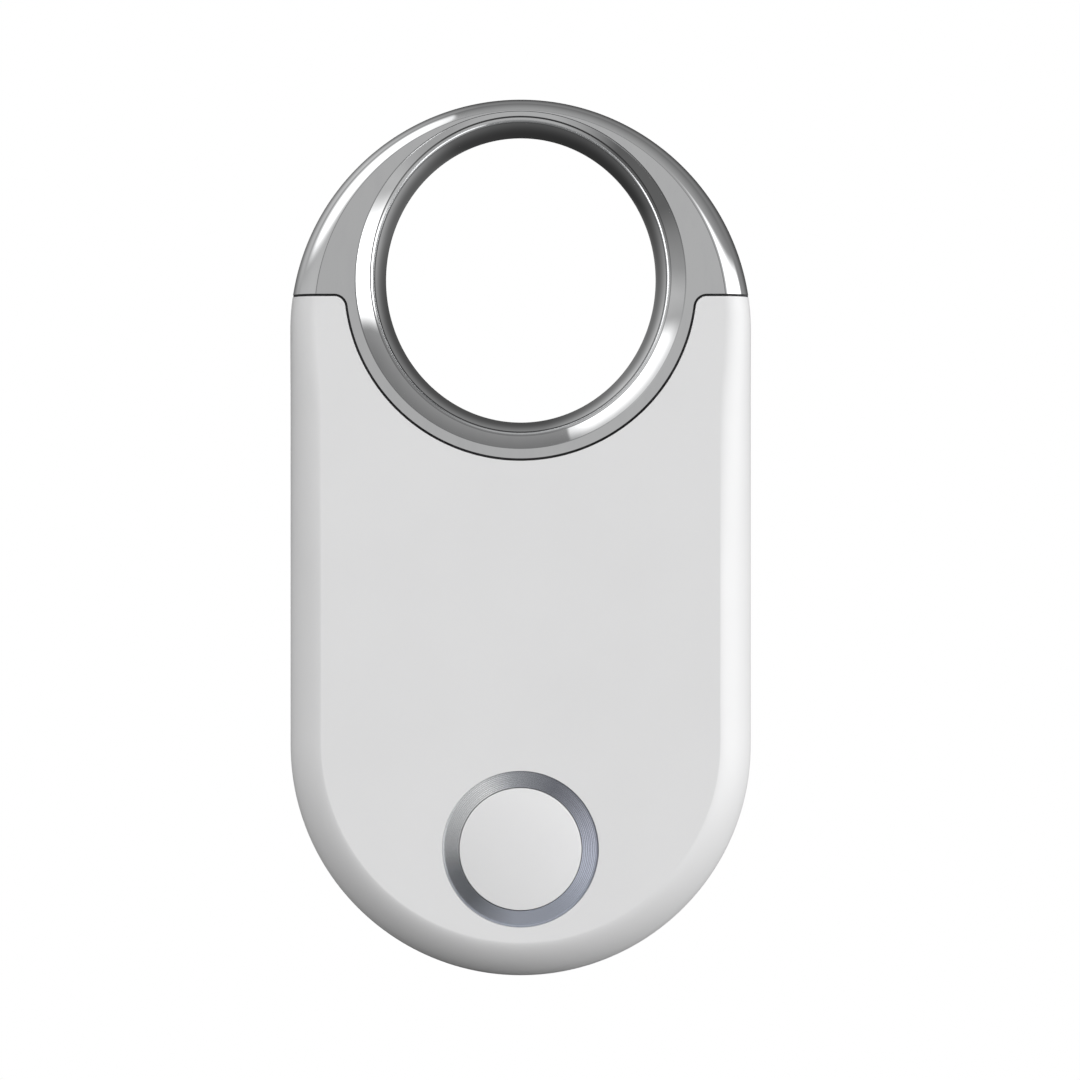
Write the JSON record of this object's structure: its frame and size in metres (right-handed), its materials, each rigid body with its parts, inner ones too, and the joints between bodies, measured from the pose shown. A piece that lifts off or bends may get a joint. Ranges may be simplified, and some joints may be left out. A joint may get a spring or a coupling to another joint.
{
  "type": "bluetooth tracker tag",
  "caption": "Flat pill-shaped radio tag for keys: polished metal loop round an oval key-ring hole, white two-part case, round push button in a metal ring, and a coin cell behind a rear door.",
  "frame": {"origin": "middle of the back face's outline, on the surface that the tag lies on", "axes": "+Z is the thickness, out of the front face with the button; +Y is the length, towards the loop; X is the width"},
  "size_m": [0.03, 0.057, 0.008],
  "materials": {
    "polished_metal": "polished",
    "brushed_ring": "satin",
    "shell_plastic": "satin",
    "button_plastic": "satin",
    "door_plastic": "satin",
    "seal_rubber": "matte",
    "seal_silicone": "satin",
    "clear_silicone": "satin",
    "foam": "matte",
    "screw_steel": "satin",
    "board": "satin",
    "ic_package": "matte",
    "crystal_can": "satin",
    "antenna_ceramic": "matte",
    "inductor_ferrite": "matte",
    "tantalum_case": "matte",
    "capacitor_ceramic": "matte",
    "switch_plastic": "matte",
    "plunger_plastic": "satin",
    "switch_steel": "satin",
    "spring_gold": "polished",
    "sounder_brass": "satin",
    "sounder_ceramic": "satin",
    "tape": "matte",
    "cell_steel": "satin",
    "cell_pellet": "matte",
    "cell_gasket": "satin"
  },
  "bodies": {
    "case": {"loop": "polished_metal", "loop_screws": "screw_steel", "front_shell": "shell_plastic", "rear_shell": "shell_plastic", "shell_seal": "seal_rubber", "seam_gasket": "seal_rubber", "trim_ring": "brushed_ring", "button_return_pad": "clear_silicone", "switch_body": "switch_plastic", "switch_dome": "spring_gold", "switch_cover": "switch_steel", "circuit_board": "board", "board_screws": "screw_steel", "radio_chip": "ic_package", "main_crystal": "crystal_can", "clock_crystal": "crystal_can", "motion_sensor": "ic_package", "chip_antenna": "antenna_ceramic", "boost_inductor": "inductor_ferrite", "storage_capacitor": "tantalum_case", "chip_capacitors": "capacitor_ceramic", "sounder_plate": "sounder_brass", "sounder_ceramic": "sounder_ceramic", "sounder_tape": "tape", "sounder_contacts": "spring_gold", "negative_contact": "spring_gold", "positive_contacts": "spring_gold"},
    "button": {"button_cap": "button_plastic"},
    "plunger": {"switch_plunger": "plunger_plastic"},
    "door": {"battery_door": "door_plastic", "door_seal": "seal_silicone", "door_pad": "foam"},
    "cell": {"cell_can": "cell_steel", "cell_pellet": "cell_pellet", "cell_gasket": "cell_gasket", "cell_cap": "cell_steel"}
  },
  "joints": [
    {"name": "button_press", "type": "slide", "parent": "case", "child": "button", "axis": [0, 0, -1], "range_m": [0, 0.00025], "stiffness_N_per_m": 6000, "springref_m": -0.0001, "deforming": ["button_return_pad"]},
    {"name": "plunger_press", "type": "slide", "parent": "case", "child": "plunger", "axis": [0, 0, -1], "range_m": [0, 0.00025], "deforming": ["switch_dome"]},
    {"name": "door_lift", "type": "slide", "parent": "case", "child": "door", "axis": [0, 0, -1], "range_m": [0, 0.012]},
    {"name": "cell_drop", "type": "slide", "parent": "case", "child": "cell", "axis": [0, 0, -1], "range_m": [0, 0.006]}
  ],
  "couplings": [
    {"joint": "plunger_press", "follows": "button_press", "ratio": 1},
    {"joint": "cell_drop", "follows": "door_lift", "ratio": 0.5}
  ]
}
